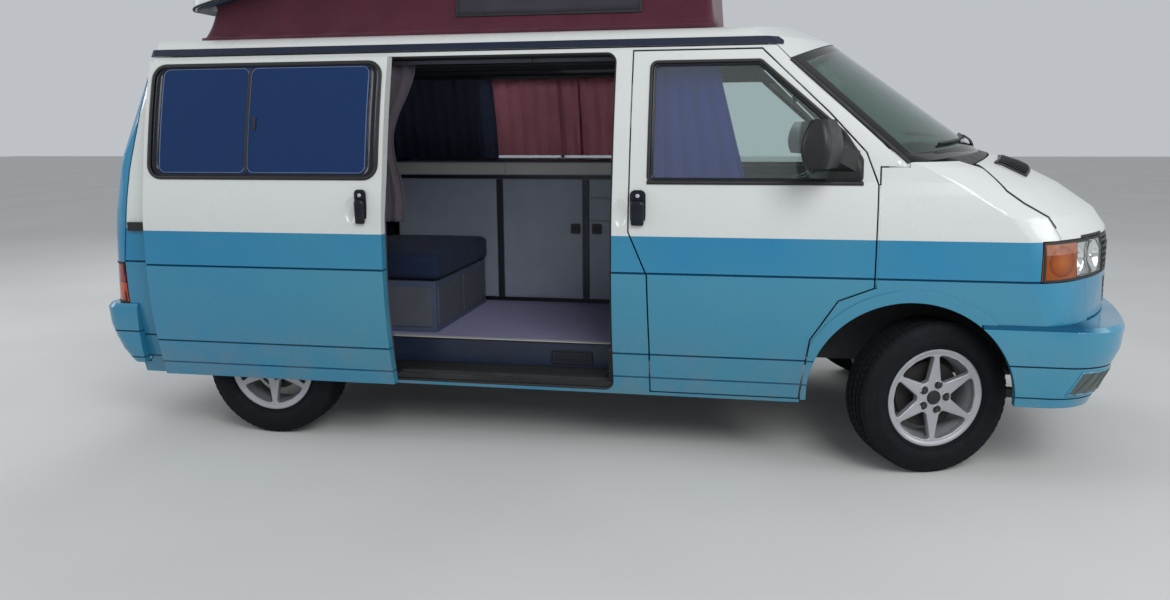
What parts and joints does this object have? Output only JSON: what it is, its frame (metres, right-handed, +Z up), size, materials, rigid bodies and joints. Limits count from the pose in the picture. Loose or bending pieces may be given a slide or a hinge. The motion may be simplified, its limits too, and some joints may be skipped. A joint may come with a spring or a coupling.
{
  "type": "camper van",
  "caption": "Short-nose camper van with a raised rear-hinged pop-top, open sliding door, hinged doors, tailgate and bonnet, steered front wheels and four spinning wheels.",
  "frame": {"origin": "on the ground under the middle of the overall box", "axes": "+X forward, the way the van drives; +Y to its left; +Z up"},
  "size_m": [4.6998, 2.265, 2.7024],
  "materials": {
    "paint_white": "gloss",
    "paint_blue": "gloss",
    "glass": "clear tinted",
    "lamp_clear": "clear",
    "lamp_amber": "gloss",
    "lamp_red": "gloss",
    "black_plastic": "matte",
    "gutter_navy": "gloss",
    "grey_laminate": "satin",
    "seat_fabric": "matte",
    "canvas": "matte",
    "curtain": "matte",
    "lid_shell": "gloss",
    "tyre": "matte",
    "alloy": "satin",
    "steel": "satin",
    "cast": "matte",
    "floor": "satin"
  },
  "bodies": {
    "body": {"side_right": "paint_white", "side_left": "paint_white", "side_windows": "glass", "sliding_door": "paint_white", "sliding_door_window": "glass", "door_rails": "black_plastic", "roof_panel": "paint_white", "roof_gutters": "gutter_navy", "fenders": "paint_white", "indicators": "lamp_amber", "headlamps": "lamp_clear", "grille": "black_plastic", "front_panel": "paint_blue", "windscreen": "glass", "cowl": "black_plastic", "front_bumper": "paint_blue", "rear_bumper": "paint_blue", "tail_lamps": "lamp_red", "floor_pan": "floor", "wheel_housings": "steel", "firewall": "steel", "dashboard": "black_plastic", "steering_wheel": "black_plastic", "worktop": "grey_laminate", "kitchen_unit": "grey_laminate", "bench_base": "grey_laminate", "bench_cushions": "seat_fabric", "front_seats": "seat_fabric", "seat_bases": "steel", "curtains": "curtain", "front_suspension": "steel", "rear_suspension": "steel", "engine": "cast", "fuel_tank": "black_plastic", "exhaust": "steel", "spare_wheel": "tyre", "canvas": "canvas"},
    "roof_lid": {"roof_lid": "lid_shell"},
    "bonnet": {"bonnet": "paint_white"},
    "tailgate": {"tailgate": "paint_blue", "tailgate_window": "glass"},
    "door_right": {"door_right": "paint_white", "door_window_right": "glass", "mirror_right": "black_plastic"},
    "door_left": {"door_left": "paint_white", "door_window_left": "glass", "mirror_left": "black_plastic"},
    "knuckle_right": {"knuckle_right": "cast"},
    "knuckle_left": {"knuckle_left": "cast"},
    "wheel_front_right": {"tyre_front_right": "tyre", "rim_front_right": "alloy"},
    "wheel_front_left": {"tyre_front_left": "tyre", "rim_front_left": "alloy"},
    "wheel_rear_right": {"tyre_rear_right": "tyre", "rim_rear_right": "alloy"},
    "wheel_rear_left": {"tyre_rear_left": "tyre", "rim_rear_left": "alloy"}
  },
  "joints": [
    {"name": "roof_lid_lift", "type": "hinge", "parent": "body", "child": "roof_lid", "pos_m": [-2.05, 0, 1.89], "axis": [0, 1, 0], "range_deg": [0, 15.4], "deforming": ["canvas"]},
    {"name": "bonnet_hinge", "type": "hinge", "parent": "body", "child": "bonnet", "pos_m": [1.598, 0, 1.33], "axis": [0, -1, 0], "range_deg": [0, 50]},
    {"name": "tailgate_hinge", "type": "hinge", "parent": "body", "child": "tailgate", "pos_m": [-2.104, 0, 1.758], "axis": [0, 1, 0], "range_deg": [0, 86]},
    {"name": "door_right_hinge", "type": "hinge", "parent": "body", "child": "door_right", "pos_m": [1.188, -0.912, 0.8], "axis": [0, 0, 1], "range_deg": [0, 68]},
    {"name": "door_left_hinge", "type": "hinge", "parent": "body", "child": "door_left", "pos_m": [1.188, 0.912, 0.8], "axis": [0, 0, -1], "range_deg": [0, 68]},
    {"name": "steer_right", "type": "hinge", "parent": "body", "child": "knuckle_right", "pos_m": [1.4315, -0.6645, 0.3235], "axis": [0, 0, 1], "range_deg": [-55, 15]},
    {"name": "steer_left", "type": "hinge", "parent": "body", "child": "knuckle_left", "pos_m": [1.4315, 0.6645, 0.3235], "axis": [0, 0, 1], "range_deg": [-55, 15]},
    {"name": "spin_front_right", "type": "hinge", "parent": "knuckle_right", "child": "wheel_front_right", "pos_m": [1.47596, -0.78666, 0.3235], "axis": [-0.342, 0.9397, 0], "continuous": true},
    {"name": "spin_front_left", "type": "hinge", "parent": "knuckle_left", "child": "wheel_front_left", "pos_m": [1.38704, 0.78666, 0.3235], "axis": [-0.342, 0.9397, 0], "continuous": true},
    {"name": "spin_rear_right", "type": "hinge", "parent": "body", "child": "wheel_rear_right", "pos_m": [-1.4885, -0.777, 0.3235], "axis": [0, 1, 0], "continuous": true},
    {"name": "spin_rear_left", "type": "hinge", "parent": "body", "child": "wheel_rear_left", "pos_m": [-1.4885, 0.777, 0.3235], "axis": [0, 1, 0], "continuous": true}
  ],
  "couplings": [
    {"joint": "steer_left", "follows": "steer_right", "ratio": 1}
  ]
}
